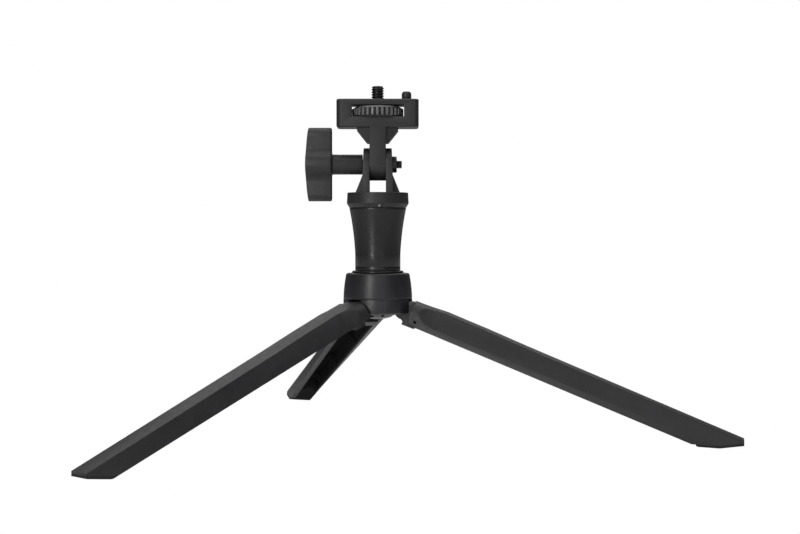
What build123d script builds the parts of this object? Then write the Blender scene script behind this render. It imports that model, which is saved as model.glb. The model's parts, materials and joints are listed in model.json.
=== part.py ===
from build123d import *
import os
from math import cos, radians, sin, sqrt, tan

# A mini table tripod: three folding legs on a round hub, a waisted column, a panning yoke, and a
# tilting camera block that a wing knob clamps. Millimetres, +Z up, standing on its feet at Z = 0.
# The origin is under the centre of the whole footprint, so the column stands at COLUMN_X, COLUMN_Y.

# Stance
LEG_AZIMUTHS = {"left": 227.4, "right": 347.4, "rear": 107.4}
LEG_SLOPE = 20.0
LEG_REACH = 178.9
FOOT_HALF_WIDTH = 5.5

# Heights of the stack on the column axis
HUB_DOME = 58.6
HUB_BOTTOM = 61.8
HUB_SEAM = 68.8
HUB_TOP = 81.7
COLUMN_BOTTOM = 82.8
WAIST_START = 91.0
COLUMN_TOP = 114.2
FLANGE_BOTTOM = 114.3
FLANGE_WIDEST = 117.2
FLANGE_TOP = 121.8
TILT_AXIS = 135.8
BLOCK_BOTTOM = 153.9
BLOCK_TOP = 168.0
STUD_TOP = 174.7

# Hub, column and flange radii
HUB_RADIUS = 17.2
HUB_TOP_RADIUS = 16.15
HUB_BOSS_RADIUS = 6.5
HUB_CAVITY_RADIUS = 13.6
DOME_RADIUS = 11.0
RING_RADIUS = 12.8
COLUMN_RADIUS = 11.3
COLUMN_TOP_RADIUS = 14.2
COLUMN_BORE = 8.2
FLANGE_RADIUS = 15.4
PAN_NUT_TOP = 109.3
PAN_SCREW_END = 103.3
PIP_START = 12.6
PIP_RADIUS = 0.55

# Leg hinges
HINGE_RADIUS = 14.0
HINGE_STATION = HINGE_RADIUS * (1 - sin(radians(LEG_SLOPE))) / cos(radians(LEG_SLOPE))
LEG_BASE = 53.7
HINGE_HEIGHT = LEG_BASE + HINGE_STATION
PIN_RADIUS = 1.0
PIN_LENGTH = 15.6
SLOT_HALF = 4.25
NECK_HALF = 4.0
KNUCKLE_RADIUS = 4.8

# Leg section, in stations along the leg: half width and height of the top face, the widest edge
# and the lips of the open channel
ROOT_STATION = 13.0
TOP_HALF = 5.3
LIP_HALF = 3.9
RIM_WIDTH = 2.3
RIM_DEPTH = 0.95
WALL = 1.7
SCOOP_RADIUS = 30.0
SCOOP_STATION = 29.0
CHANNEL_START = 26.0
CHANNEL_END = 150.0
SECTION_END = 192.0

# Foot
PAD_THICKNESS = 1.2
PAD_START = 156.5
TOE_START = 168.0
TOE_RISE = 7.0

# Head
EAR_INNER = 4.1
EAR_TOP = 6.95
EAR_BOTTOM = 7.5
EAR_RADIUS = 8.15
TONGUE_HALF = 4.0
TONGUE_RADIUS = 8.0
BLOCK_WIDTH = 40.7
BLOCK_DEPTH = 16.4
WINDOW_WIDTH = 26.2
WINDOW_BOTTOM = 159.25
WINDOW_TOP = 165.1
WHEEL_RADIUS = 12.8
WHEEL_BOTTOM = 159.55
WHEEL_TOP = 164.5
WHEEL_TEETH = 32
STUD_RADIUS = 3.175
STUD_SHANK_RADIUS = 2.9
STUD_JOURNAL_RADIUS = 2.5
TWIST_PIN_X = 14.35
TWIST_PIN_TOP = 172.1
TWIST_PIN_RADIUS = 2.4
TWIST_SHANK_RADIUS = 2.0
RELIEF = 0.15
CLAMP_RADIUS = 2.0
KNOB_INNER = -22.85
KNOB_OUTER = -35.9
KNOB_HALF_LENGTH = 18.35
KNOB_STEM_RADIUS = 5.0
NUT_FLATS = 7.0
RUNNING = 0.06


def footprint_centre():
    """Middle of the box round the outer ends of the three feet, measured from the column."""
    xs = []
    ys = []
    for azimuth in LEG_AZIMUTHS.values():
        a = radians(azimuth)
        for side in (-FOOT_HALF_WIDTH, FOOT_HALF_WIDTH):
            xs.append(LEG_REACH * cos(a) - side * sin(a))
            ys.append(LEG_REACH * sin(a) + side * cos(a))
    return (min(xs) + max(xs)) / 2, (min(ys) + max(ys)) / 2


CENTRE_X, CENTRE_Y = footprint_centre()
COLUMN_X = -CENTRE_X
COLUMN_Y = -CENTRE_Y


def level(height):
    """Horizontal plane with its origin on the column axis."""
    return Plane((COLUMN_X, COLUMN_Y, height))


def upright(y=0.0):
    """Plane through the column axis for revolved profiles: X to the right, Y up."""
    return Plane((COLUMN_X, COLUMN_Y + y, 0), x_dir=(1, 0, 0), z_dir=(0, -1, 0))


def across(x):
    """Plane square to the tilt axis, on that axis: X along +Y, Y up, normal +X."""
    return Plane((COLUMN_X + x, COLUMN_Y, TILT_AXIS), x_dir=(0, 1, 0), z_dir=(1, 0, 0))


def radial(azimuth):
    """Upright plane along a leg: X outward from the column, Y up."""
    a = radians(azimuth)
    return Plane((COLUMN_X, COLUMN_Y, 0), x_dir=(cos(a), sin(a), 0), z_dir=(sin(a), -cos(a), 0))


def tangential(azimuth, radius):
    """Upright plane facing outward at a radius: X along the leg's side, Y up."""
    a = radians(azimuth)
    centre = (COLUMN_X + radius * cos(a), COLUMN_Y + radius * sin(a), 0)
    return Plane(centre, x_dir=(-sin(a), cos(a), 0), z_dir=(cos(a), sin(a), 0))


def spine(azimuth):
    """Plane square to a leg: X across the leg, Y out of its top face, normal towards its foot."""
    a = radians(azimuth)
    slope = radians(LEG_SLOPE)
    along = (cos(a) * cos(slope), sin(a) * cos(slope), -sin(slope))
    return Plane((COLUMN_X, COLUMN_Y, LEG_BASE), x_dir=(-sin(a), cos(a), 0), z_dir=along)


def mirrored(right_side, left_side=None):
    """Closed outline from points listed from top to bottom, the left side's ones mirrored."""
    return right_side + [(-x, y) for x, y in reversed(left_side or right_side)]


def straight(station, first, last):
    """Value on the straight line from first, at the root, to last, at the section's far end."""
    share = (station - ROOT_STATION) / (SECTION_END - ROOT_STATION)
    return first + (last - first) * share


def leg_lines(station, top):
    """Corners of the leg's section: top edge, widest edge, shallow lip, deep lip."""
    widest = (straight(station, 10.3, 6.3), straight(station, 11.6, 6.0))
    shallow = (widest[0] - RIM_WIDTH, widest[1] - RIM_DEPTH)
    deep = (LIP_HALF, straight(station, 7.8, 2.65))
    return [(TOP_HALF, top), widest, shallow, deep]


def leg_outline(station, top, extra=()):
    """Closed section: the deep lip is on the left, seen from the root towards the foot."""
    edge, widest, shallow, deep = leg_lines(station, top)
    sides = [edge, *extra, widest]
    return mirrored(sides + [shallow], sides + [deep])


# Height of the top face along the leg, as (station, height)
SHOULDER = [(ROOT_STATION, 19.4), (22.0, 19.6), (30.0, 20.0), (41.0, 19.6), (51.0, 19.3)]
SHOULDER += [(73.0, 18.25), (SECTION_END, 13.85)]
CROWN_TOP = 19.5
CROWN_SPRING = 12.2


def crown_arc(station):
    """Quarter-round shoulder of the full root, from the top edge down to the widest edge."""
    bulge = leg_lines(station, 0)[1][0] - TOP_HALF
    rise = CROWN_TOP - CROWN_SPRING
    angles = [radians(a) for a in (75, 60, 45, 30, 15, 0)]
    return [(TOP_HALF + bulge * cos(a), CROWN_SPRING + rise * sin(a)) for a in angles]


def write(piece, name):
    piece.part.label = name
    export_step(piece.part, f"parts/{name}.step")


os.makedirs("parts", exist_ok=True)

# ---------------------------------------------------------------- hub

# Core: the slotted lower wall that carries the three leg pins, and a spigot for the cap
with BuildPart() as hub_core:
    with BuildSketch(level(HUB_BOTTOM)):
        Circle(HUB_RADIUS)
    extrude(amount=HUB_SEAM - HUB_BOTTOM)
    fillet(hub_core.edges().filter_by(GeomType.CIRCLE).group_by(Axis.Z)[0], 0.8)
    with BuildSketch(level(HUB_SEAM)):
        Circle(8.0)
    extrude(amount=HUB_TOP - 3.0 - HUB_SEAM)
    for azimuth in LEG_AZIMUTHS.values():
        with BuildSketch(radial(azimuth)):
            with BuildLine():
                Polyline(
                    (HUB_BOSS_RADIUS, HUB_BOTTOM - 1),
                    (HUB_BOSS_RADIUS, HINGE_HEIGHT),
                    (HINGE_RADIUS - KNUCKLE_RADIUS - 0.3, HINGE_HEIGHT),
                    (HINGE_RADIUS - KNUCKLE_RADIUS - 0.3, HINGE_HEIGHT + 2.1),
                    (HINGE_RADIUS - 3.5, HUB_SEAM),
                    (HUB_RADIUS + 1, HUB_SEAM),
                    (HUB_RADIUS + 1, HUB_BOTTOM - 1),
                    close=True,
                )
            make_face()
        extrude(amount=SLOT_HALF, both=True, mode=Mode.SUBTRACT)
        with BuildSketch(tangential(azimuth, HINGE_RADIUS - 3)):
            with Locations((SLOT_HALF + 2.2, HUB_BOTTOM + 2.2)):
                Rectangle(4.6, 4.6)
            with Locations((SLOT_HALF + 4.5, HUB_BOTTOM + 4.5)):
                Circle(4.5, mode=Mode.SUBTRACT)
        extrude(amount=8, mode=Mode.SUBTRACT)
        with BuildSketch(radial(azimuth)):
            with Locations((HINGE_RADIUS, HINGE_HEIGHT)):
                Circle(PIN_RADIUS)
        extrude(amount=PIN_LENGTH / 2, both=True, mode=Mode.SUBTRACT)
    with BuildSketch(level(HUB_BOTTOM)):
        Circle(3.9)
    extrude(amount=4.0, mode=Mode.SUBTRACT)
    with BuildSketch(level(HUB_BOTTOM)):
        Circle(CLAMP_RADIUS + 0.1)
    extrude(amount=HUB_TOP - HUB_BOTTOM, mode=Mode.SUBTRACT)
    with BuildSketch(level(HUB_BOTTOM)):
        with PolarLocations(8.6, 3, start_angle=LEG_AZIMUTHS["rear"] + 60):
            Circle(0.9)
    extrude(amount=5.0, mode=Mode.SUBTRACT)
write(hub_core, "hub_core")

# Domed base plate: closes the core from below, with a gap for each leg's knuckle
with BuildPart() as hub_base:
    dome_height = HUB_BOTTOM - HUB_DOME
    with BuildSketch(upright()):
        with BuildLine():
            Line((0, HUB_BOTTOM), (DOME_RADIUS, HUB_BOTTOM))
            RadiusArc(
                (DOME_RADIUS, HUB_BOTTOM),
                (0, HUB_DOME),
                (DOME_RADIUS**2 + dome_height**2) / (2 * dome_height),
            )
            Line((0, HUB_DOME), (0, HUB_BOTTOM))
        make_face()
    revolve(axis=Axis((COLUMN_X, COLUMN_Y, 0), (0, 0, 1)))
    for azimuth in LEG_AZIMUTHS.values():
        with BuildSketch(radial(azimuth)):
            with Locations((HUB_BOSS_RADIUS + 5, HUB_BOTTOM - 2.5)):
                Rectangle(10, 7)
        extrude(amount=SLOT_HALF, both=True, mode=Mode.SUBTRACT)
    with BuildSketch(level(HUB_BOTTOM)):
        with PolarLocations(8.6, 3, start_angle=LEG_AZIMUTHS["rear"] + 60):
            Circle(0.9)
    extrude(amount=-4.0, mode=Mode.SUBTRACT)
write(hub_base, "hub_base")

# Three small screws that hold the base plate, flush in the dome
with BuildPart() as base_screws:
    with BuildSketch(level(HUB_BOTTOM - 1.4)):
        with PolarLocations(8.6, 3, start_angle=LEG_AZIMUTHS["rear"] + 60):
            Circle(0.9)
    extrude(amount=6.0)
write(base_screws, "base_screws")

# Cap: the tapering upper shell of the hub
with BuildPart() as hub_cap:
    with BuildSketch(upright()):
        with BuildLine():
            Line((0, HUB_SEAM), (HUB_RADIUS - 0.05, HUB_SEAM))
            ThreePointArc((HUB_RADIUS - 0.05, HUB_SEAM), (16.65, 76.4), (HUB_TOP_RADIUS, 80.9))
            Line((HUB_TOP_RADIUS, 80.9), (HUB_TOP_RADIUS - 0.15, HUB_TOP))
            Line((HUB_TOP_RADIUS - 0.15, HUB_TOP), (0, HUB_TOP))
            Line((0, HUB_TOP), (0, HUB_SEAM))
        make_face()
    revolve(axis=Axis((COLUMN_X, COLUMN_Y, 0), (0, 0, 1)))
    fillet(hub_cap.edges().filter_by(GeomType.CIRCLE).group_by(Axis.Z)[-1], 0.8)
    with BuildSketch(level(HUB_SEAM)):
        Circle(HUB_CAVITY_RADIUS)
    extrude(amount=HUB_TOP - 3.0 - HUB_SEAM, mode=Mode.SUBTRACT)
    with BuildSketch(level(HUB_SEAM)):
        Circle(CLAMP_RADIUS + 0.1)
    extrude(amount=HUB_TOP - HUB_SEAM, mode=Mode.SUBTRACT)
write(hub_cap, "hub_cap")

# ---------------------------------------------------------------- column

with BuildPart() as column_ring:
    with BuildSketch(level(HUB_TOP)):
        Circle(RING_RADIUS)
        Circle(CLAMP_RADIUS + 0.1, mode=Mode.SUBTRACT)
    extrude(amount=COLUMN_BOTTOM - HUB_TOP)
    fillet(column_ring.edges().group_by(Axis.Z)[-1].sort_by(SortBy.RADIUS)[-1], 0.3)
write(column_ring, "column_ring")

# Waisted sleeve, closed at the top by the plate that the yoke turns on
with BuildPart() as column_sleeve:
    with BuildSketch(upright()):
        with BuildLine():
            Polyline(
                (0, COLUMN_TOP),
                (0, COLUMN_BOTTOM),
                (COLUMN_RADIUS, COLUMN_BOTTOM),
                (COLUMN_RADIUS, WAIST_START),
            )
            ThreePointArc(
                (COLUMN_RADIUS, WAIST_START),
                (12.32, 102.8),
                (COLUMN_TOP_RADIUS, COLUMN_TOP),
            )
            Line((COLUMN_TOP_RADIUS, COLUMN_TOP), (0, COLUMN_TOP))
        make_face()
    revolve(axis=Axis((COLUMN_X, COLUMN_Y, 0), (0, 0, 1)))
    with BuildSketch(level(COLUMN_BOTTOM)):
        Circle(COLUMN_BORE)
    extrude(amount=COLUMN_TOP - 4.0 - COLUMN_BOTTOM, mode=Mode.SUBTRACT)
    with BuildSketch(level(COLUMN_BOTTOM)):
        Circle(CLAMP_RADIUS + RUNNING)
    extrude(amount=COLUMN_TOP - COLUMN_BOTTOM, mode=Mode.SUBTRACT)
write(column_sleeve, "column_sleeve")

# Plug pressed into the sleeve's foot, tapped for the column screw
with BuildPart() as column_plug:
    with BuildSketch(level(COLUMN_BOTTOM)):
        Circle(COLUMN_BORE)
        Circle(CLAMP_RADIUS, mode=Mode.SUBTRACT)
    extrude(amount=11.0)
    chamfer(column_plug.edges().group_by(Axis.Z)[-1].sort_by(SortBy.RADIUS)[-1], 0.6)
write(column_plug, "column_plug")

with BuildPart() as column_screw:
    with BuildSketch(level(HUB_BOTTOM)):
        Circle(3.6)
    extrude(amount=4.0)
    with BuildSketch(level(HUB_BOTTOM)):
        RegularPolygon(1.5, 6, major_radius=False)
    extrude(amount=2.2, mode=Mode.SUBTRACT)
    with BuildSketch(level(HUB_BOTTOM + 4.0)):
        Circle(CLAMP_RADIUS)
    extrude(amount=COLUMN_BOTTOM + 9.0 - HUB_BOTTOM - 4.0)
write(column_screw, "column_screw")

# ---------------------------------------------------------------- pan

# Slippery disc in a recess under the yoke
with BuildPart() as pan_washer:
    with BuildSketch(level(COLUMN_TOP)):
        Circle(12.0)
        Circle(CLAMP_RADIUS + 0.3, mode=Mode.SUBTRACT)
    extrude(amount=0.8)
write(pan_washer, "pan_washer")

with BuildPart() as pan_screw:
    with BuildSketch(level(FLANGE_TOP - 3.8)):
        Circle(3.8)
    extrude(amount=2.6)
    fillet(pan_screw.edges().group_by(Axis.Z)[-1], 0.5)
    with BuildSketch(level(FLANGE_TOP - 1.2)):
        RegularPolygon(1.25, 6, major_radius=False)
    extrude(amount=-1.6, mode=Mode.SUBTRACT)
    with BuildSketch(level(FLANGE_TOP - 3.8)):
        Circle(CLAMP_RADIUS)
    extrude(amount=-(FLANGE_TOP - 3.8 - PAN_SCREW_END))
write(pan_screw, "pan_screw")

with BuildPart() as pan_spring_washer:
    with BuildSketch(level(PAN_NUT_TOP)):
        Circle(4.4)
        Circle(CLAMP_RADIUS, mode=Mode.SUBTRACT)
    extrude(amount=0.8)
write(pan_spring_washer, "pan_spring_washer")

with BuildPart() as pan_nut:
    with BuildSketch(level(PAN_NUT_TOP)):
        RegularPolygon(NUT_FLATS / 2, 6, major_radius=False)
        Circle(CLAMP_RADIUS, mode=Mode.SUBTRACT)
    extrude(amount=-5.0)
write(pan_nut, "pan_nut")

# Yoke: a round flange with two ears, each stiffened outside by a sloping rib
with BuildPart() as yoke:
    with BuildSketch(upright()):
        with BuildLine():
            Polyline(
                (0, FLANGE_BOTTOM),
                (COLUMN_TOP_RADIUS, FLANGE_BOTTOM),
                (FLANGE_RADIUS, FLANGE_WIDEST - 0.9),
                (FLANGE_RADIUS, FLANGE_WIDEST),
                (FLANGE_RADIUS - 0.25, FLANGE_TOP),
                (0, FLANGE_TOP),
                close=True,
            )
        make_face()
    revolve(axis=Axis((COLUMN_X, COLUMN_Y, 0), (0, 0, 1)))
    fillet(yoke.edges().filter_by(GeomType.CIRCLE).group_by(Axis.Z)[-1], 0.35)
    ear_foot = FLANGE_TOP - TILT_AXIS - 0.5
    with BuildSketch(across(0)):
        Circle(EAR_RADIUS)
        with Locations((0, ear_foot / 2)):
            Rectangle(2 * EAR_RADIUS, -ear_foot)
    extrude(amount=EAR_BOTTOM + 1, both=True)
    for side in (-1, 1):
        with BuildSketch(upright()):
            with BuildLine():
                Polyline(
                    (side * EAR_TOP, TILT_AXIS + EAR_RADIUS + 1),
                    (side * (EAR_BOTTOM - 0.12), TILT_AXIS - 3),
                    (side * EAR_BOTTOM, TILT_AXIS - 7),
                    (side * EAR_BOTTOM, FLANGE_TOP),
                    (side * 14, FLANGE_TOP),
                    (side * 14, TILT_AXIS + EAR_RADIUS + 1),
                    close=True,
                )
            make_face()
        extrude(amount=EAR_RADIUS + 1, both=True, mode=Mode.SUBTRACT)
        with BuildSketch(upright()):
            with BuildLine():
                Polyline(
                    (side * (EAR_BOTTOM - 1), TILT_AXIS - 5.2),
                    (side * EAR_BOTTOM, TILT_AXIS - 5.2),
                    (side * 11.05, FLANGE_TOP),
                    (side * 11.05, FLANGE_TOP - 0.5),
                    (side * (EAR_BOTTOM - 1), FLANGE_TOP - 0.5),
                    close=True,
                )
            make_face()
        extrude(amount=4.2, both=True)
    with BuildSketch(upright()):
        with Locations((0, (FLANGE_TOP + TILT_AXIS + EAR_RADIUS + 1) / 2)):
            Rectangle(2 * EAR_INNER, TILT_AXIS + EAR_RADIUS + 1 - FLANGE_TOP)
    extrude(amount=EAR_RADIUS + 1, both=True, mode=Mode.SUBTRACT)
    with BuildSketch(across(0)):
        Circle(CLAMP_RADIUS + RUNNING)
    extrude(amount=EAR_BOTTOM + 1, both=True, mode=Mode.SUBTRACT)
    with BuildSketch(across(6.2)):
        RegularPolygon(NUT_FLATS / 2, 6, major_radius=False, rotation=30)
    extrude(amount=2, mode=Mode.SUBTRACT)
    with BuildSketch(level(FLANGE_TOP)):
        Circle(3.95)
    extrude(amount=-3.8, mode=Mode.SUBTRACT)
    with BuildSketch(level(FLANGE_TOP)):
        Circle(CLAMP_RADIUS)
    extrude(amount=-10, mode=Mode.SUBTRACT)
    with BuildSketch(level(FLANGE_BOTTOM)):
        Circle(12.2)
    extrude(amount=COLUMN_TOP + 0.9 - FLANGE_BOTTOM, mode=Mode.SUBTRACT)
    with BuildSketch(upright(-PIP_START)):
        with Locations((1.0, FLANGE_BOTTOM + 0.9)):
            Circle(PIP_RADIUS)
    extrude(amount=4, mode=Mode.SUBTRACT)
write(yoke, "yoke")

# Index pip: a small metal pin pressed into the flange's lower edge at the front
with BuildPart() as index_pip:
    with BuildSketch(upright(-PIP_START)):
        with Locations((1.0, FLANGE_BOTTOM + 0.9)):
            Circle(PIP_RADIUS)
    extrude(amount=2.2)
write(index_pip, "index_pip")

# ---------------------------------------------------------------- clamp

with BuildPart() as clamp_nut:
    with BuildSketch(across(6.2)):
        RegularPolygon(NUT_FLATS / 2, 6, major_radius=False, rotation=30)
        Circle(CLAMP_RADIUS + RUNNING, mode=Mode.SUBTRACT)
    extrude(amount=3.3)
    with BuildSketch(upright()):
        with BuildLine():
            Polyline((9.6, TILT_AXIS + 3.4), (9.6, TILT_AXIS + 5), (8.7, TILT_AXIS + 5), close=True)
        make_face()
    revolve(axis=Axis((COLUMN_X, COLUMN_Y, TILT_AXIS), (1, 0, 0)), mode=Mode.SUBTRACT)
write(clamp_nut, "clamp_nut")

with BuildPart() as clamp_bolt:
    with BuildSketch(across(-34.6)):
        RegularPolygon(NUT_FLATS / 2, 6, major_radius=False)
    extrude(amount=2.8)
    with BuildSketch(across(-31.8)):
        Circle(CLAMP_RADIUS)
    extrude(amount=31.8 + 12.0)
    chamfer(clamp_bolt.edges().filter_by(GeomType.CIRCLE).group_by(Axis.X)[-1], 0.5)
write(clamp_bolt, "clamp_bolt")

# Wing knob: a barrel with two rounded wings, a bowed outer face and a round stem
with BuildPart() as clamp_knob:
    with BuildSketch(across(KNOB_OUTER - 0.5)):
        for side in (-1, 1):
            with Locations((0, side * (KNOB_HALF_LENGTH - 3.7))):
                Circle(3.7)
            with BuildLine():
                Polyline(
                    (-3.7, side * (KNOB_HALF_LENGTH - 3.7)),
                    (3.7, side * (KNOB_HALF_LENGTH - 3.7)),
                    (3.0, 0),
                    (-3.0, 0),
                    close=True,
                )
            make_face()
        Circle(7.2)
    extrude(amount=KNOB_INNER - KNOB_OUTER + 0.5)
    barrel_joins = clamp_knob.edges().filter_by(Axis.X).filter_by(
        lambda edge: abs(edge.center().Z - TILT_AXIS) < 9
    )
    fillet(barrel_joins, 5.0)
    bow = 1.4
    bow_radius = (KNOB_HALF_LENGTH**2 + bow**2) / (2 * bow)
    with BuildSketch(upright()):
        with Locations((KNOB_OUTER + bow_radius, TILT_AXIS)):
            Circle(bow_radius)
    extrude(amount=12, both=True, mode=Mode.INTERSECT)
    fillet(clamp_knob.faces().sort_by(Axis.X)[-1].edges(), 0.8)
    with BuildSketch(across(KNOB_INNER)):
        Circle(KNOB_STEM_RADIUS)
    extrude(amount=-KNOB_INNER - EAR_BOTTOM - 0.05)
    stem_join = clamp_knob.edges().filter_by(GeomType.CIRCLE).filter_by(
        lambda edge: abs(edge.center().X - COLUMN_X - KNOB_INNER) < 0.01
        and abs(edge.radius - KNOB_STEM_RADIUS) < 0.01
    )
    fillet(stem_join, 0.9)
    with BuildSketch(across(-34.6)):
        RegularPolygon(NUT_FLATS / 2, 6, major_radius=False)
    extrude(amount=2.8, mode=Mode.SUBTRACT)
    with BuildSketch(across(-31.8)):
        Circle(CLAMP_RADIUS)
    extrude(amount=31.8, mode=Mode.SUBTRACT)
write(clamp_knob, "clamp_knob")

# ---------------------------------------------------------------- tilting camera block

with BuildPart() as tilt_block:
    with BuildSketch(level(BLOCK_BOTTOM)):
        Rectangle(BLOCK_WIDTH, BLOCK_DEPTH)
    extrude(amount=BLOCK_TOP - BLOCK_BOTTOM)
    chamfer(tilt_block.edges().filter_by(Axis.Z), 1.7)
    fillet(tilt_block.edges().group_by(Axis.Z)[-1] + tilt_block.edges().group_by(Axis.Z)[0], 0.9)
    with BuildSketch(across(0)):
        Circle(TONGUE_RADIUS)
        with Locations((0, (BLOCK_BOTTOM + 1 - TILT_AXIS) / 2)):
            Rectangle(2 * TONGUE_RADIUS, BLOCK_BOTTOM + 1 - TILT_AXIS)
    extrude(amount=TONGUE_HALF, both=True)
    with BuildSketch(upright()):
        with BuildLine():
            Polyline(
                mirrored([(10.2, BLOCK_BOTTOM + 1), (10.2, 152.4), (5.55, 146.6), (5.2, 146.3)]),
                close=True,
            )
        make_face()
    extrude(amount=5.6, both=True)
    with BuildSketch(upright()):
        with Locations((0, (WINDOW_BOTTOM + WINDOW_TOP) / 2)):
            Rectangle(WINDOW_WIDTH, WINDOW_TOP - WINDOW_BOTTOM)
    extrude(amount=BLOCK_DEPTH, both=True, mode=Mode.SUBTRACT)
    with BuildSketch(level(BLOCK_TOP)):
        Circle(STUD_RADIUS + 0.15)
    extrude(amount=WINDOW_TOP - BLOCK_TOP, mode=Mode.SUBTRACT)
    with BuildSketch(level(WINDOW_BOTTOM)):
        Circle(STUD_JOURNAL_RADIUS + RUNNING)
    extrude(amount=-3.8, mode=Mode.SUBTRACT)
    with BuildSketch(level(BLOCK_TOP)):
        with Locations((TWIST_PIN_X, 0)):
            Circle(TWIST_SHANK_RADIUS)
    extrude(amount=-2.4, mode=Mode.SUBTRACT)
    with BuildSketch(level(BLOCK_TOP)):
        with Locations((TWIST_PIN_X, 0)):
            Circle(TWIST_PIN_RADIUS + 0.1)
    extrude(amount=-RELIEF, mode=Mode.SUBTRACT)
    with BuildSketch(across(0)):
        Circle(CLAMP_RADIUS + RUNNING)
    extrude(amount=TONGUE_HALF + 1, both=True, mode=Mode.SUBTRACT)
write(tilt_block, "tilt_block")

# Pin that keys into a camera's locating hole, relieved where it meets the block
with BuildPart() as twist_pin:
    with BuildSketch(level(BLOCK_TOP - 2.4)):
        with Locations((TWIST_PIN_X, 0)):
            Circle(TWIST_SHANK_RADIUS)
    extrude(amount=2.4 + RELIEF)
    with BuildSketch(level(BLOCK_TOP + RELIEF)):
        with Locations((TWIST_PIN_X, 0)):
            Circle(TWIST_PIN_RADIUS)
    extrude(amount=TWIST_PIN_TOP - BLOCK_TOP - RELIEF)
    chamfer(twist_pin.edges().group_by(Axis.Z)[-1], 1.0, 0.45)
write(twist_pin, "twist_pin")

# Thumbwheel, chamfered above and below and knurled with round-bottomed grooves
with BuildPart() as thumbwheel:
    with BuildSketch(level(WHEEL_BOTTOM)):
        Circle(WHEEL_RADIUS)
    extrude(amount=WHEEL_TOP - WHEEL_BOTTOM)
    chamfer(thumbwheel.edges().group_by(Axis.Z)[-1], 1.2, 2.2)
    chamfer(thumbwheel.edges().group_by(Axis.Z)[0], 0.4)
    with BuildSketch(level(WHEEL_BOTTOM)):
        with PolarLocations(WHEEL_RADIUS + 0.1, WHEEL_TEETH, start_angle=180 / WHEEL_TEETH):
            Circle(0.72)
        Circle(STUD_SHANK_RADIUS)
    extrude(amount=WHEEL_TOP - WHEEL_BOTTOM, mode=Mode.SUBTRACT)
write(thumbwheel, "thumbwheel")

# Camera screw: fixed in the wheel, with a journal below and a thinner shank through the block
with BuildPart() as camera_stud:
    with BuildSketch(level(WHEEL_BOTTOM)):
        Circle(STUD_SHANK_RADIUS)
    extrude(amount=BLOCK_TOP + 2 * RELIEF - WHEEL_BOTTOM)
    with BuildSketch(level(BLOCK_TOP + 2 * RELIEF)):
        Circle(STUD_RADIUS)
    extrude(amount=STUD_TOP - BLOCK_TOP - 2 * RELIEF)
    chamfer(camera_stud.edges().group_by(Axis.Z)[-1], 0.5)
    with BuildSketch(level(WHEEL_BOTTOM)):
        Circle(STUD_JOURNAL_RADIUS)
    extrude(amount=-3.8)
write(camera_stud, "camera_stud")

# ---------------------------------------------------------------- legs


def leg_outside(plane):
    """The leg's full outer form, from its root to past its foot."""
    with BuildPart() as form:
        for station, top in SHOULDER:
            with BuildSketch(plane.offset(station)):
                with BuildLine():
                    Polyline(leg_outline(station, top), close=True)
                make_face()
        loft(ruled=True)
    return form.part


def sole(height, start):
    """Upright outline of the space below the sole, raised by height, from a start radius."""
    far = LEG_REACH + 20
    toe = height + (far - TOE_START) * tan(radians(TOE_RISE))
    return [(start, -30), (start, height), (TOE_START, height), (far, toe), (far, -30)]


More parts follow.
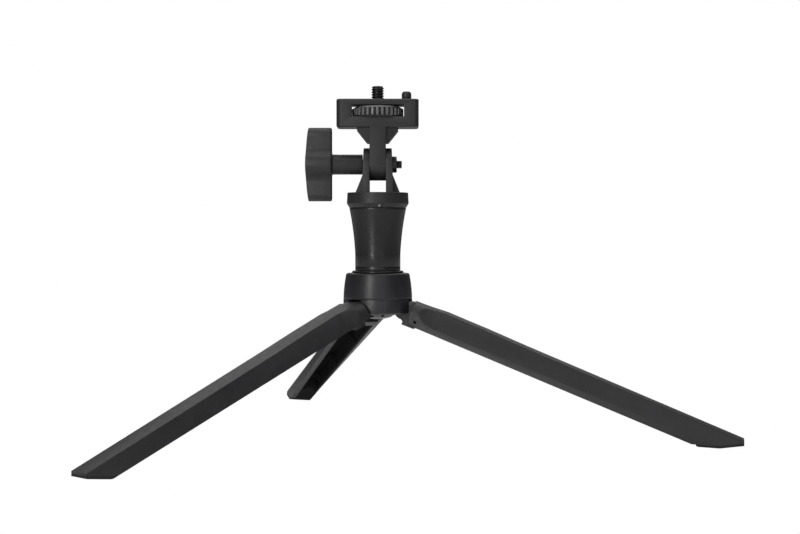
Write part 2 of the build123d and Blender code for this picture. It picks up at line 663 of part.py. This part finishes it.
def make_leg(azimuth):
    plane = spine(azimuth)
    outside = leg_outside(plane)
    facet_top, facet_wide = leg_lines(SCOOP_STATION, SHOULDER[2][1])[:2]
    drop = facet_top[1] - facet_wide[1]
    spread = facet_wide[0] - facet_top[0]
    facet_length = sqrt(drop**2 + spread**2)

    with BuildPart() as leg:
        # Full round root, scooped away on both sides towards the flat facets
        for station in (ROOT_STATION, SCOOP_STATION):
            with BuildSketch(plane.offset(station)):
                with BuildLine():
                    Polyline(leg_outline(station, CROWN_TOP, crown_arc(station)), close=True)
                make_face()
        loft(ruled=True)
        for side in (-1, 1):
            normal = (side * drop / facet_length, spread / facet_length)
            middle_u = side * (facet_top[0] + facet_wide[0]) / 2
            middle_n = (facet_top[1] + facet_wide[1]) / 2
            centre = plane.from_local_coords(
                (
                    middle_u + normal[0] * SCOOP_RADIUS,
                    middle_n + normal[1] * SCOOP_RADIUS,
                    SCOOP_STATION,
                )
            )
            ridge = plane.x_dir * (-side * spread) + plane.y_dir * drop
            with BuildSketch(Plane(centre, x_dir=plane.z_dir, z_dir=ridge)):
                Circle(SCOOP_RADIUS)
            extrude(amount=14, both=True, mode=Mode.SUBTRACT)
        add(outside)

        # Open channel underneath, flared at the root on the side of the shallow lip
        for station, top in (
            (CHANNEL_START, 19.8),
            (41.0, 19.55),
            (73.0, 18.25),
            (CHANNEL_END, 15.4),
        ):
            edge, widest, shallow, deep = leg_lines(station, top)
            roof = (edge[0] - 1.2, edge[1] - WALL)
            with BuildSketch(plane.offset(station)):
                with BuildLine():
                    open_side = [
                        roof,
                        (widest[0] - WALL - 0.4, widest[1] + 2.0),
                        (shallow[0], shallow[1] + 0.8),
                        (shallow[0], deep[1] - 4),
                    ]
                    lipped_side = [
                        roof,
                        (widest[0] - WALL - 0.3, widest[1] + 0.5),
                        (deep[0] - 1.0, deep[1] + 1.1),
                        (deep[0] - 1.0, deep[1] - 4),
                    ]
                    Polyline(mirrored(open_side, lipped_side), close=True)
                make_face()
        loft(ruled=True, mode=Mode.SUBTRACT)
        flare = Plane(plane.from_local_coords((0, 9.6, 0)), x_dir=plane.z_dir, z_dir=plane.y_dir)
        with BuildSketch(flare):
            with BuildLine():
                Polyline((17, -2.9), (34, -2.9), (34, 2.9), (21, 6.2), (17, 6.2), close=True)
            make_face()
        extrude(amount=-6, mode=Mode.SUBTRACT)

        # Cross ribs, concave on their open side
        for station in (64.0, 104.0, 140.0):
            edge, widest = leg_lines(station, straight(station, 20.6, 13.85))[:2]
            with BuildSketch(plane.offset(station)):
                with BuildLine():
                    rib = [(edge[0] - 1.0, edge[1] - 1.0), (widest[0] - 1.5, widest[1] + 0.3)]
                    Polyline(mirrored(rib), close=True)
                make_face()
                with Locations((0, widest[1] - 0.6)):
                    Circle(widest[0] - 3.2, mode=Mode.SUBTRACT)
            extrude(amount=1.2)

        # Root trimmed back on one side and clear of the hub, then the neck and knuckle
        with BuildSketch(plane):
            with Locations((-8, 13)):
                Rectangle(8, 16)
        extrude(amount=15.0, mode=Mode.SUBTRACT)
        with BuildSketch(level(HUB_BOTTOM - 0.3)):
            Circle(HUB_RADIUS + 0.3)
        extrude(amount=20, mode=Mode.SUBTRACT)
        neck = Plane(plane.origin, x_dir=plane.z_dir, z_dir=-plane.x_dir)
        with BuildSketch(neck):
            with Locations((HINGE_STATION, HINGE_RADIUS)):
                Circle(KNUCKLE_RADIUS)
            with BuildLine():
                Polyline(
                    (HINGE_STATION, HINGE_RADIUS + KNUCKLE_RADIUS),
                    (ROOT_STATION, 19.0),
                    (22, 19.2),
                    (22, 8.6),
                    (HINGE_STATION + 1.2, 8.6),
                    (HINGE_STATION - 2, HINGE_RADIUS - 3),
                    close=True,
                )
            make_face()
        extrude(amount=NECK_HALF, both=True)
        with BuildSketch(neck):
            with Locations((14.5, 7.9)):
                Rectangle(6.5, 2.0)
        extrude(amount=NECK_HALF, both=True)
        with BuildSketch(neck):
            with Locations((HINGE_STATION, HINGE_RADIUS)):
                Circle(PIN_RADIUS + 0.05)
        extrude(amount=NECK_HALF + 1, both=True, mode=Mode.SUBTRACT)
        with BuildSketch(neck):
            with Locations((18.2, 10.9)):
                Circle(0.8)
        extrude(amount=12, both=True, mode=Mode.SUBTRACT)

        # Foot: end face, and the flat that the pad is bonded to
        split(bisect_by=tangential(azimuth, LEG_REACH), keep=Keep.BOTTOM)
        with BuildSketch(radial(azimuth)):
            with BuildLine():
                Polyline(sole(PAD_THICKNESS, 100), close=True)
            make_face()
        extrude(amount=15, both=True, mode=Mode.SUBTRACT)
    return leg


def make_pad(azimuth):
    with BuildPart() as pad:
        add(leg_outside(spine(azimuth)))
        with BuildSketch(radial(azimuth)):
            with BuildLine():
                Polyline(
                    (PAD_START, 0),
                    (PAD_START, PAD_THICKNESS),
                    (TOE_START, PAD_THICKNESS),
                    (LEG_REACH, PAD_THICKNESS + (LEG_REACH - TOE_START) * tan(radians(TOE_RISE))),
                    (LEG_REACH, (LEG_REACH - TOE_START) * tan(radians(TOE_RISE))),
                    (TOE_START, 0),
                    close=True,
                )
            make_face()
        extrude(amount=15, both=True, mode=Mode.INTERSECT)
    return pad


for name, azimuth in LEG_AZIMUTHS.items():
    leg = make_leg(azimuth)
    write(leg, f"leg_{name}")
    pad = make_pad(azimuth)
    write(pad, f"foot_pad_{name}")
    with BuildPart() as leg_pin:
        with BuildSketch(radial(azimuth)):
            with Locations((HINGE_RADIUS, HINGE_HEIGHT)):
                Circle(PIN_RADIUS)
        extrude(amount=PIN_LENGTH / 2, both=True)
    write(leg_pin, f"leg_pin_{name}")
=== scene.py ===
import json
from math import atan2, cos, degrees, hypot, pi, radians, sin

import bmesh
import bpy
from mathutils import Matrix, Vector


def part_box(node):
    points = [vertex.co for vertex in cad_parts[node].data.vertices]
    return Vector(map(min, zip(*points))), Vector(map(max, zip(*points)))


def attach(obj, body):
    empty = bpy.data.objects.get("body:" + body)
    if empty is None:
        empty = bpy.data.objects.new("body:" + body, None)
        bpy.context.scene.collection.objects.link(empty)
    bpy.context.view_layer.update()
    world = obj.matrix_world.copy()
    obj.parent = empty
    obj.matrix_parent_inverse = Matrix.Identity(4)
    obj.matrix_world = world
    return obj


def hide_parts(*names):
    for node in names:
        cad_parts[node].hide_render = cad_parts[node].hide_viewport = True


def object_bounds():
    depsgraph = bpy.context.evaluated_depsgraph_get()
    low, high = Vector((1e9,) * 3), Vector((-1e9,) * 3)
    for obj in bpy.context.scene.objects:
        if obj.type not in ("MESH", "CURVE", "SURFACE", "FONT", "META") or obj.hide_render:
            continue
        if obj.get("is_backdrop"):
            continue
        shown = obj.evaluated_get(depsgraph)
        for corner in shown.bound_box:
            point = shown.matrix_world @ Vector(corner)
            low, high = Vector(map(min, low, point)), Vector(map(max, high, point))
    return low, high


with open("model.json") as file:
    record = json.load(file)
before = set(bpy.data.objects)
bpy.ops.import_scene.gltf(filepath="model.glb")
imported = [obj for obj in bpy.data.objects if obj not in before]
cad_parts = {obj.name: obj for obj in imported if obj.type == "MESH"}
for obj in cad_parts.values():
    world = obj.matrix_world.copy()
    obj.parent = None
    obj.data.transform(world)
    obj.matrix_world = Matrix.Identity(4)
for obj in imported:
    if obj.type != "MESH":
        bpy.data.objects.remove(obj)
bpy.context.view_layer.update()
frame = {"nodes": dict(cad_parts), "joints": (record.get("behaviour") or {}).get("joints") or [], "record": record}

MM = 0.001
nodes = frame["nodes"]
joints = {joint["name"]: joint for joint in frame["joints"]}
body_of_node = {
    node: body
    for body, members in frame["record"]["behaviour"]["bodies"].items()
    for node in members
}
slot_of_node = {row["node"]: row["material_slot"] for row in frame["record"]["subparts"]}


def middle(node):
    low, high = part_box(node)
    return (low + high) / 2


AXIS = middle("column_sleeve")
TILT = Vector(joints["head_tilt"]["pos_m"])

# Sizes in millimetres
STUD_PITCH = 1.27
STUD_DEPTH = 0.6
STUD_SHANK = 2.9
STUD_JOURNAL = 2.5
BOLT_PITCH = 0.7
BOLT_RADIUS = 2.0
BOLT_ROOT = 1.72
BOLT_THREAD = 8.0
BOLT_HEAD_RADIUS = 3.5
BOLT_HEAD_START = -39.0
BOLT_HEAD_END = -36.2
SCREW_BORE = 2.2
CAP_WALL = 13.6
CAP_SHOULDER = (16.6, 76.4)
CAP_ROUND = 1.2
COLLAR_RADIUS = 12.8
COLLAR_ROUND = 0.45
SLEEVE_RADIUS = 11.3
SLEEVE_BORE = 8.2
WAIST_START = 91.0
WAIST_MIDDLE = (12.32, 102.8)
CHANNEL_START = 14.0
CHANNEL_END = 140.0
KNURL_DEPTH = 0.75

LEG_SLOPE = radians(20)
FLATNESS = 0.6  # degrees, up to which neighbouring faces count as one

# ---------------------------------------------------------------- materials


def shader(name):
    material = bpy.data.materials.new(name)
    material.use_nodes = True
    tree = material.node_tree
    return material, tree, tree.nodes["Principled BSDF"]


def node(tree, kind, **values):
    made = tree.nodes.new(kind)
    for key, value in values.items():
        if key in made.inputs:
            made.inputs[key].default_value = value
        else:
            setattr(made, key, value)
    return made


def noise(tree, scale, detail=4.0, roughness=0.6, stretch=(1, 1, 1)):
    """Noise in the row frame, with features about 1 / scale metres wide."""
    place = node(tree, "ShaderNodeTexCoord")
    mapping = node(tree, "ShaderNodeMapping")
    mapping.inputs["Scale"].default_value = stretch
    texture = node(tree, "ShaderNodeTexNoise")
    texture.inputs["Scale"].default_value = scale
    texture.inputs["Detail"].default_value = detail
    texture.inputs["Roughness"].default_value = roughness
    tree.links.new(place.outputs["Object"], mapping.inputs["Vector"])
    tree.links.new(mapping.outputs["Vector"], texture.inputs["Vector"])
    return texture.outputs["Fac"]


def ramp(tree, value, stops):
    """Colour ramp of (position, (r, g, b)) stops."""
    made = node(tree, "ShaderNodeValToRGB")
    elements = made.color_ramp.elements
    while len(elements) < len(stops):
        elements.new(0.5)
    for element, (position, colour) in zip(elements, stops):
        element.position = position
        element.color = (*colour, 1)
    tree.links.new(value, made.inputs["Fac"])
    return made.outputs["Color"]


def spread(tree, value, low, high):
    """Value from 0.3..0.7 stretched to low..high."""
    made = node(tree, "ShaderNodeMapRange")
    made.inputs["From Min"].default_value = 0.3
    made.inputs["From Max"].default_value = 0.7
    made.inputs["To Min"].default_value = low
    made.inputs["To Max"].default_value = high
    tree.links.new(value, made.inputs["Value"])
    return made.outputs["Result"]


def bump(tree, bsdf, layers):
    """Bumps of (height, strength, distance in metres), coarse first."""
    normal = None
    for height, strength, distance in layers:
        made = node(tree, "ShaderNodeBump")
        made.inputs["Strength"].default_value = strength
        made.inputs["Distance"].default_value = distance
        tree.links.new(height, made.inputs["Height"])
        if normal is not None:
            tree.links.new(normal, made.inputs["Normal"])
        normal = made.outputs["Normal"]
    tree.links.new(normal, bsdf.inputs["Normal"])


def moulded(name, dark, light, roughness, grain=2600.0, relief=0.3, stretch=(1, 1, 1)):
    """Moulded black plastic: fine spark-eroded grain, faint flow marks and uneven sheen."""
    material, tree, bsdf = shader(name)
    flow = noise(tree, 55.0, 3.0, 0.55, stretch)
    mottle = noise(tree, 420.0, 3.0, 0.6)
    fine = noise(tree, grain, 3.0, 0.6)
    pitted = noise(tree, grain * 0.32, 2.0, 0.5)
    tree.links.new(ramp(tree, flow, [(0.3, dark), (0.7, light)]), bsdf.inputs["Base Color"])
    tree.links.new(spread(tree, mottle, *roughness), bsdf.inputs["Roughness"])
    bsdf.inputs["Specular IOR Level"].default_value = 0.5
    bump(tree, bsdf, [(pitted, relief, 0.00006), (fine, relief, 0.00004)])
    return material


def knurl_with_painted_shade(name, crest, groove):
    """Moulded plastic with painted shade down in the knurl's grooves and a painted highlight on its crests."""
    low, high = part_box("thumbwheel")
    material = moulded(name, groove, crest, (0.24, 0.34), 3000.0, 0.2)
    tree = material.node_tree
    bsdf = tree.nodes["Principled BSDF"]
    place = node(tree, "ShaderNodeTexCoord")
    centred = node(tree, "ShaderNodeVectorMath", operation="SUBTRACT")
    centred.inputs[1].default_value = (low + high) / 2
    flat = node(tree, "ShaderNodeVectorMath", operation="MULTIPLY")
    flat.inputs[1].default_value = (1, 1, 0)
    radius = node(tree, "ShaderNodeVectorMath", operation="LENGTH")
    share = node(tree, "ShaderNodeMapRange")
    share.inputs["From Min"].default_value = (high.x - low.x) / 2 - KNURL_DEPTH * MM
    share.inputs["From Max"].default_value = (high.x - low.x) / 2
    tree.links.new(place.outputs["Object"], centred.inputs[0])
    tree.links.new(centred.outputs["Vector"], flat.inputs[0])
    tree.links.new(flat.outputs["Vector"], radius.inputs[0])
    tree.links.new(radius.outputs["Value"], share.inputs["Value"])
    # Painted highlight on the crests and painted shade in the grooves, set by distance from the wheel's axis.
    stops = [(0.0, crest), (0.1, groove), (0.72, groove), (0.9, crest)]
    tree.links.new(ramp(tree, share.outputs["Result"], stops), bsdf.inputs["Base Color"])
    return material


def rubber(name, dark, light):
    material, tree, bsdf = shader(name)
    smear = noise(tree, 180.0, 4.0, 0.6)
    fine = noise(tree, 3800.0, 2.0, 0.6)
    tree.links.new(ramp(tree, smear, [(0.35, dark), (0.7, light)]), bsdf.inputs["Base Color"])
    tree.links.new(spread(tree, smear, 0.7, 0.9), bsdf.inputs["Roughness"])
    bsdf.inputs["Specular IOR Level"].default_value = 0.35
    bump(tree, bsdf, [(fine, 0.4, 0.00006)])
    return material


def metal(name, dark, light, roughness, metallic):
    """Plated or blackened steel with fine turning marks and worn patches."""
    material, tree, bsdf = shader(name)
    patch = noise(tree, 900.0, 4.0, 0.6)
    turned = noise(tree, 2500.0, 2.0, 0.5, (1, 1, 6))
    tree.links.new(ramp(tree, patch, [(0.4, dark), (0.75, light)]), bsdf.inputs["Base Color"])
    tree.links.new(spread(tree, patch, *roughness), bsdf.inputs["Roughness"])
    bsdf.inputs["Metallic"].default_value = metallic
    bump(tree, bsdf, [(turned, 0.25, 0.00003)])
    return material


MATERIALS = {
    "leg_plastic": moulded(
        "leg_plastic", (0.019, 0.019, 0.021), (0.026, 0.026, 0.028), (0.4, 0.52), 2400.0, 0.3
    ),
    "hub_plastic": moulded(
        "hub_plastic", (0.018, 0.018, 0.020), (0.026, 0.026, 0.029), (0.3, 0.4), 2600.0, 0.3
    ),
    "column_plastic": moulded(
        "column_plastic",
        (0.009, 0.009, 0.010),
        (0.017, 0.016, 0.018),
        (0.22, 0.30),
        2200.0,
        0.35,
        (2.5, 2.5, 0.5),
    ),
    "head_plastic": moulded(
        "head_plastic", (0.020, 0.020, 0.021), (0.028, 0.028, 0.029), (0.42, 0.54), 2800.0, 0.3
    ),
    # The wheel's light crests are a painted highlight and its near-black grooves are painted shade.
    "wheel_plastic": knurl_with_painted_shade("wheel_plastic", (0.17, 0.17, 0.175), (0.002, 0.002, 0.002)),
    "washer_plastic": moulded(
        "washer_plastic", (0.56, 0.55, 0.52), (0.66, 0.65, 0.62), (0.35, 0.5), 2600.0, 0.2
    ),
    "pad_rubber": rubber("pad_rubber", (0.014, 0.014, 0.014), (0.024, 0.023, 0.023)),
    "black_steel": metal(
        "black_steel", (0.03, 0.03, 0.032), (0.10, 0.10, 0.105), (0.28, 0.42), 0.85
    ),
    "bright_steel": metal(
        "bright_steel", (0.24, 0.24, 0.245), (0.36, 0.36, 0.365), (0.4, 0.55), 1.0
    ),
}

# ---------------------------------------------------------------- mesh helpers


def piece(name, bm, cad_node):
    """Object from bm that stands for a CAD node and rides on its body."""
    bmesh.ops.recalc_face_normals(bm, faces=bm.faces)
    mesh = bpy.data.meshes.new(name)
    bm.to_mesh(mesh)
    bm.free()
    mesh.shade_smooth()
    obj = bpy.data.objects.new(name, mesh)
    bpy.context.scene.collection.objects.link(obj)
    mesh.materials.append(MATERIALS[slot_of_node[cad_node]])
    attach(obj, body_of_node[cad_node])
    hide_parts(cad_node)
    return obj


def soften(obj, width, segments, angle):
    """Rounds the edges sharper than angle and keeps the faces between them flat."""
    modifier = obj.modifiers.new("edges", "BEVEL")
    modifier.width = width
    modifier.segments = segments
    modifier.limit_method = "ANGLE"
    modifier.angle_limit = radians(angle)
    modifier.harden_normals = True
    modifier.use_clamp_overlap = True
    modifier.miter_outer = "MITER_ARC"
    return obj


def refined(cad_node, name, width, segments=3, angle=28.0):
    """Copy of a CAD node with its flat faces whole again and its edges rounded."""
    bm = bmesh.new()
    bm.from_mesh(nodes[cad_node].data)
    bmesh.ops.remove_doubles(bm, verts=bm.verts, dist=2e-6)
    bmesh.ops.dissolve_limit(
        bm,
        angle_limit=radians(FLATNESS),
        use_dissolve_boundaries=False,
        verts=bm.verts,
        edges=bm.edges,
        delimit={"NORMAL"},
    )
    return soften(piece(name, bm, cad_node), width, segments, angle)


def arc(centre, radius, start, end, steps):
    """Points on an arc in (r, z), angles in degrees."""
    points = []
    for i in range(steps + 1):
        a = radians(start + (end - start) * i / steps)
        points.append((centre[0] + radius * cos(a), centre[1] + radius * sin(a)))
    return points


def through(p, q, r, steps):
    """Points on the arc from p through q to r."""
    ax, ay, bx, by, cx, cy = *p, *q, *r
    aa, bb, cc = ax**2 + ay**2, bx**2 + by**2, cx**2 + cy**2
    d = 2 * (ax * (by - cy) + bx * (cy - ay) + cx * (ay - by))
    ux = (aa * (by - cy) + bb * (cy - ay) + cc * (ay - by)) / d
    uy = (aa * (cx - bx) + bb * (ax - cx) + cc * (bx - ax)) / d
    radius = hypot(ax - ux, ay - uy)
    first = degrees(atan2(ay - uy, ax - ux))
    last = degrees(atan2(cy - uy, cx - ux))
    if last - first > 180:
        last -= 360
    if last - first < -180:
        last += 360
    return arc((ux, uy), radius, first, last, steps)


def lathe(profile, centre, segments=128):
    """Closed solid of revolution about the upright axis through centre. Profile is (r, z) in mm."""
    bm = bmesh.new()
    rings = []
    for r, z in profile:
        if r < 1e-6:
            rings.append([bm.verts.new((centre.x, centre.y, z * MM))])
            continue
        ring = []
        for i in range(segments):
            a = 2 * pi * i / segments
            ring.append(
                bm.verts.new((centre.x + r * MM * cos(a), centre.y + r * MM * sin(a), z * MM))
            )
        rings.append(ring)
    for low, high in zip(rings, rings[1:]):
        for i in range(segments):
            j = (i + 1) % segments
            if len(low) == 1 and len(high) == 1:
                continue
            if len(low) == 1:
                bm.faces.new((low[0], high[i], high[j]))
            elif len(high) == 1:
                bm.faces.new((low[i], low[j], high[0]))
            else:
                bm.faces.new((low[i], low[j], high[j], high[i]))
    return bm


def thread(length, major, minor, pitch, steps=44, rows=14, lead=0.6):
    """Upright screw thread from z = 0 to length, in mm, with a chamfered start and closed ends."""
    bm = bmesh.new()
    count = int(length / pitch * rows)
    rings = []
    for row in range(count + 1):
        z = length * row / count
        ring = []
        for i in range(steps):
            a = 2 * pi * i / steps
            phase = (z / pitch - i / steps) % 1.0
            tooth = min(1.0, max(0.0, 1.25 - abs(phase - 0.5) * 3.2))
            radius = minor + (major - minor) * tooth
            radius = min(radius, minor - 0.1 + (length - z) * (major - minor + 0.1) / lead)
            ring.append(bm.verts.new((radius * MM * cos(a), radius * MM * sin(a), z * MM)))
        rings.append(ring)
    for low, high in zip(rings, rings[1:]):
        for i in range(steps):
            j = (i + 1) % steps
            bm.faces.new((low[i], low[j], high[j], high[i]))
    bm.faces.new(rings[0][::-1])
    bm.faces.new(rings[-1])
    return bm


def join(bm, other):
    """Adds the faces of other to bm, and frees other."""
    mesh = bpy.data.meshes.new("joined")
    other.to_mesh(mesh)
    other.free()
    bm.from_mesh(mesh)
    bpy.data.meshes.remove(mesh)


# ---------------------------------------------------------------- hub and column

cap_low, cap_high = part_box("hub_cap")
hub_low, hub_top = cap_low.z / MM, cap_high.z / MM
hub_radius = (cap_high.x - cap_low.x) / 2 / MM
rim, crown = (hub_radius, hub_low + 0.4), (14.75, hub_top - CAP_ROUND)
cap = [(CAP_WALL, hub_low), (hub_radius - 0.35, hub_low), (hub_radius - 0.1, hub_low + 0.1), rim]
cap += through(rim, CAP_SHOULDER, (crown[0] + CAP_ROUND, crown[1]), 14)[1:]
cap += arc(crown, CAP_ROUND, 0, 90, 8)[1:]
cap += [(COLLAR_RADIUS, hub_top), (SCREW_BORE, hub_top)]
cap += [(SCREW_BORE, hub_top - 3.0), (CAP_WALL, hub_top - 3.0), (CAP_WALL, hub_low)]
piece("hub_cap_shell", lathe(cap, AXIS), "hub_cap")

refined("hub_core", "hub_slotted_wall", 0.35 * MM)
refined("hub_base", "hub_dome", 0.3 * MM)

ring_low, ring_top = (corner.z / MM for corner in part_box("column_ring"))
brow = ring_top - COLLAR_ROUND
ring = [(SCREW_BORE, ring_low), (COLLAR_RADIUS, ring_low), (COLLAR_RADIUS, brow)]
ring += arc((COLLAR_RADIUS - COLLAR_ROUND, brow), COLLAR_ROUND, 15, 90, 4)
ring += [(SCREW_BORE, ring_top), (SCREW_BORE, ring_low)]
piece("column_collar", lathe(ring, AXIS), "column_ring")

foot, head = (corner.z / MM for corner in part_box("column_sleeve"))
groove, waist = SLEEVE_RADIUS - 0.07, (SLEEVE_RADIUS, WAIST_START)
wall = [(SLEEVE_BORE, foot), (11.0, foot), (11.2, foot + 0.12), (SLEEVE_RADIUS, foot + 0.35)]
wall += [(SLEEVE_RADIUS, foot + 1.9), (groove, foot + 2.05)]
wall += [(groove, foot + 2.3), (SLEEVE_RADIUS, foot + 2.45), waist]
wall += through(waist, WAIST_MIDDLE, (14.15, head - 0.35), 26)[1:]
wall += [(14.1, head - 0.1), (13.9, head), (2.1, head), (2.1, head - 4)]
wall += [(SLEEVE_BORE, head - 4), (SLEEVE_BORE, foot)]
piece("column_waisted_sleeve", lathe(wall, AXIS), "column_sleeve")

# ---------------------------------------------------------------- head

refined("yoke", "yoke_body", 0.3 * MM)
refined("tilt_block", "camera_block", 0.32 * MM)
refined("clamp_knob", "wing_knob", 0.45 * MM)
refined("clamp_nut", "clamp_nut_hex", 0.18 * MM, 2)
refined("thumbwheel", "thumbwheel_knurled", 0.14 * MM, 2)

low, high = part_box("twist_pin")
pin_low, pin_top = low.z / MM, high.z / MM
pin_r = (high.x - low.x) / 2 / MM
post = [(0, pin_low), (pin_r, pin_low), (pin_r, pin_top - 1.25), (pin_r - 0.05, pin_top - 1.0)]
post += [(pin_r - 0.45, pin_top - 0.3), (pin_r - 0.6, pin_top - 0.08)]
post += [(pin_r - 0.85, pin_top), (0, pin_top)]
piece("twist_pin_post", lathe(post, middle("twist_pin"), 64), "twist_pin")

low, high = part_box("camera_stud")
stud_low, stud_top = low.z / MM, high.z / MM
stud_r = (high.x - low.x) / 2 / MM
stud_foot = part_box("thumbwheel")[0].z / MM
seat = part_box("tilt_block")[1].z / MM
stud = thread(stud_top - seat, stud_r, stud_r - STUD_DEPTH, STUD_PITCH)
bmesh.ops.translate(stud, verts=stud.verts, vec=(AXIS.x, AXIS.y, seat * MM))
shank = [(0, stud_low), (STUD_JOURNAL, stud_low), (STUD_JOURNAL, stud_foot)]
shank += [(STUD_SHANK, stud_foot), (STUD_SHANK, seat + 0.3), (0, seat + 0.3)]
join(stud, lathe(shank, AXIS, 48))
piece("camera_screw_threaded", stud, "camera_stud")

# The bolt is made upright, with its thread's foot at z = 0, then laid along the tilt axis.
bolt = thread(BOLT_THREAD, BOLT_RADIUS, BOLT_ROOT, BOLT_PITCH, 36, 12, 0.25)
shank = [(0, BOLT_HEAD_START), (BOLT_HEAD_RADIUS, BOLT_HEAD_START)]
shank += [(BOLT_HEAD_RADIUS, BOLT_HEAD_END), (BOLT_RADIUS, BOLT_HEAD_END)]
shank += [(BOLT_RADIUS, 0.05), (0, 0.05)]
join(bolt, lathe(shank, Vector(), 48))
turn = Matrix.Rotation(pi / 2, 4, "Y")
thread_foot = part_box("clamp_bolt")[1].x - BOLT_THREAD * MM
shift = Matrix.Translation((thread_foot, TILT.y, TILT.z))
bmesh.ops.transform(bolt, matrix=shift @ turn, verts=bolt.verts)
piece("clamp_bolt_threaded", bolt, "clamp_bolt")

# ---------------------------------------------------------------- legs

# The channels' insides get painted shade: a darker, rougher copy of the leg plastic, with weaker specular.
channel_shade_material = moulded(
    "leg_channel_painted_shade", (0.007, 0.007, 0.007), (0.014, 0.014, 0.014), (0.75, 0.9), 2400.0, 0.4
)
channel_shade_material.node_tree.nodes["Principled BSDF"].inputs["Specular IOR Level"].default_value = 0.12
for side in ("left", "right", "rear"):
    leg = refined(f"leg_{side}", f"leg_{side}_channel", 0.6 * MM, 4, 17.0)
    leg.data.materials.append(channel_shade_material)
    pin = Vector(joints[f"fold_{side}"]["pos_m"])
    ahead = (pin - Vector((AXIS.x, AXIS.y, pin.z))).normalized()
    across = Vector((-ahead.y, ahead.x, 0))
    along = ahead * cos(LEG_SLOPE) - Vector((0, 0, sin(LEG_SLOPE)))
    above = along.cross(across)
    for face in leg.data.polygons:
        offset = face.center - pin
        upward = face.normal.dot(above)
        outward = face.normal.dot(across) * (1 if offset.dot(across) > 0 else -1)
        inside = outward < -0.3 or (upward < -0.3 and outward < 0.2)
        if inside and CHANNEL_START * MM < offset.dot(along) < CHANNEL_END * MM:
            # Faces inside the channel take the painted-shade material.
            face.material_index = 1
    refined(f"foot_pad_{side}", f"foot_pad_{side}_sole", 0.2 * MM, 2)

# ---------------------------------------------------------------- carried-over CAD nodes

for name, obj in nodes.items():
    obj.data.materials.clear()
    obj.data.materials.append(MATERIALS[slot_of_node[name]])

# ---------------------------------------------------------------- studio

scene = bpy.context.scene
scene.view_settings.view_transform = "Standard"

CAMERA_DISTANCE = 0.731
CAMERA_HEIGHT = 0.1038
CAMERA_ASIDE = 0.0111
CAMERA_PITCH = 1.5
FOCAL = 65.79
LIGHT_AIM_HEIGHT = 0.09

camera_data = bpy.data.cameras.new("camera")
camera_data.lens = FOCAL
camera_data.sensor_width = 36.0
camera_data.clip_start = 0.05
camera_data.clip_end = 50.0
camera = bpy.data.objects.new("camera", camera_data)
camera.location = (AXIS.x + CAMERA_ASIDE, AXIS.y - CAMERA_DISTANCE, CAMERA_HEIGHT)
camera.rotation_euler = (radians(90 - CAMERA_PITCH), 0, 0)
scene.collection.objects.link(camera)
scene.camera = camera


def softbox(name, azimuth, elevation, distance, size, radiance):
    """Area light aimed at the column. Azimuth 0 is in front, 90 is to the left."""
    data = bpy.data.lights.new(name, "AREA")
    data.shape = "RECTANGLE"
    data.size, data.size_y = size
    data.energy = radiance * pi * size[0] * size[1]
    light = bpy.data.objects.new(name, data)
    a, e = radians(azimuth), radians(elevation)
    aim = Vector((AXIS.x, AXIS.y, LIGHT_AIM_HEIGHT))
    offset = Vector((-sin(a) * cos(e), -cos(a) * cos(e), sin(e))) * distance
    light.location = aim + offset
    light.rotation_euler = (-offset).to_track_quat("-Z", "Y").to_euler()
    scene.collection.objects.link(light)


softbox("overhead", 0, 88, 1.3, (1.8, 1.5), 1.6)
softbox("front", 7, 12, 1.7, (2.8, 1.1), 0.62)
softbox("strip", 27, 14, 0.52, (0.07, 0.42), 7.0)
softbox("back", 180, 35, 1.5, (1.6, 0.8), 0.9)


def seen_and_lit(tree, output_kind, lit, seen):
    """Shows the camera the shader seen, while everything else is lit by the shader lit."""
    output = node(tree, output_kind)
    mix = node(tree, "ShaderNodeMixShader")
    path = node(tree, "ShaderNodeLightPath")
    tree.links.new(path.outputs["Is Camera Ray"], mix.inputs["Fac"])
    tree.links.new(lit, mix.inputs[1])
    tree.links.new(seen, mix.inputs[2])
    tree.links.new(mix.outputs["Shader"], output.inputs["Surface"])


world = bpy.data.worlds.new("studio")
scene.world = world
world.use_nodes = True
tree = world.node_tree
tree.nodes.clear()
around = node(tree, "ShaderNodeBackground", Color=(0.085, 0.085, 0.09, 1))
backdrop = node(tree, "ShaderNodeBackground", Color=(1, 1, 1, 1))
seen_and_lit(
    tree, "ShaderNodeOutputWorld", around.outputs["Background"], backdrop.outputs["Background"]
)

# The floor looks plain white. Its light on the object is stronger under the hub.
floor_material = bpy.data.materials.new("floor_white")
floor_material.use_nodes = True
tree = floor_material.node_tree
tree.nodes.clear()
paper = node(tree, "ShaderNodeBsdfDiffuse", Color=(0.6, 0.6, 0.6, 1))
white = node(tree, "ShaderNodeEmission")
glow = node(tree, "ShaderNodeEmission")
place = node(tree, "ShaderNodeTexCoord")
away = node(tree, "ShaderNodeVectorMath", operation="LENGTH")
near = node(tree, "ShaderNodeMapRange")
near.inputs["From Min"].default_value = 0.12
near.inputs["From Max"].default_value = 0.40
near.inputs["To Min"].default_value = 0.30
near.inputs["To Max"].default_value = 0.0
both = node(tree, "ShaderNodeAddShader")
tree.links.new(place.outputs["Object"], away.inputs[0])
tree.links.new(away.outputs["Value"], near.inputs["Value"])
tree.links.new(near.outputs["Result"], glow.inputs["Strength"])
tree.links.new(paper.outputs["BSDF"], both.inputs[0])
tree.links.new(glow.outputs["Emission"], both.inputs[1])
seen_and_lit(
    tree, "ShaderNodeOutputMaterial", both.outputs["Shader"], white.outputs["Emission"]
)

floor_bm = bmesh.new()
bmesh.ops.create_grid(floor_bm, x_segments=8, y_segments=8, size=6.0)
floor_mesh = bpy.data.meshes.new("floor")
floor_bm.to_mesh(floor_mesh)
floor_bm.free()
floor = bpy.data.objects.new("floor", floor_mesh)
floor.location = (0, 0, -0.0002)
floor_mesh.materials.append(floor_material)
scene.collection.objects.link(floor)
floor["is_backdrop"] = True

# ---------------------------------------------------------------- bounds of the shown objects

low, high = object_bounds()
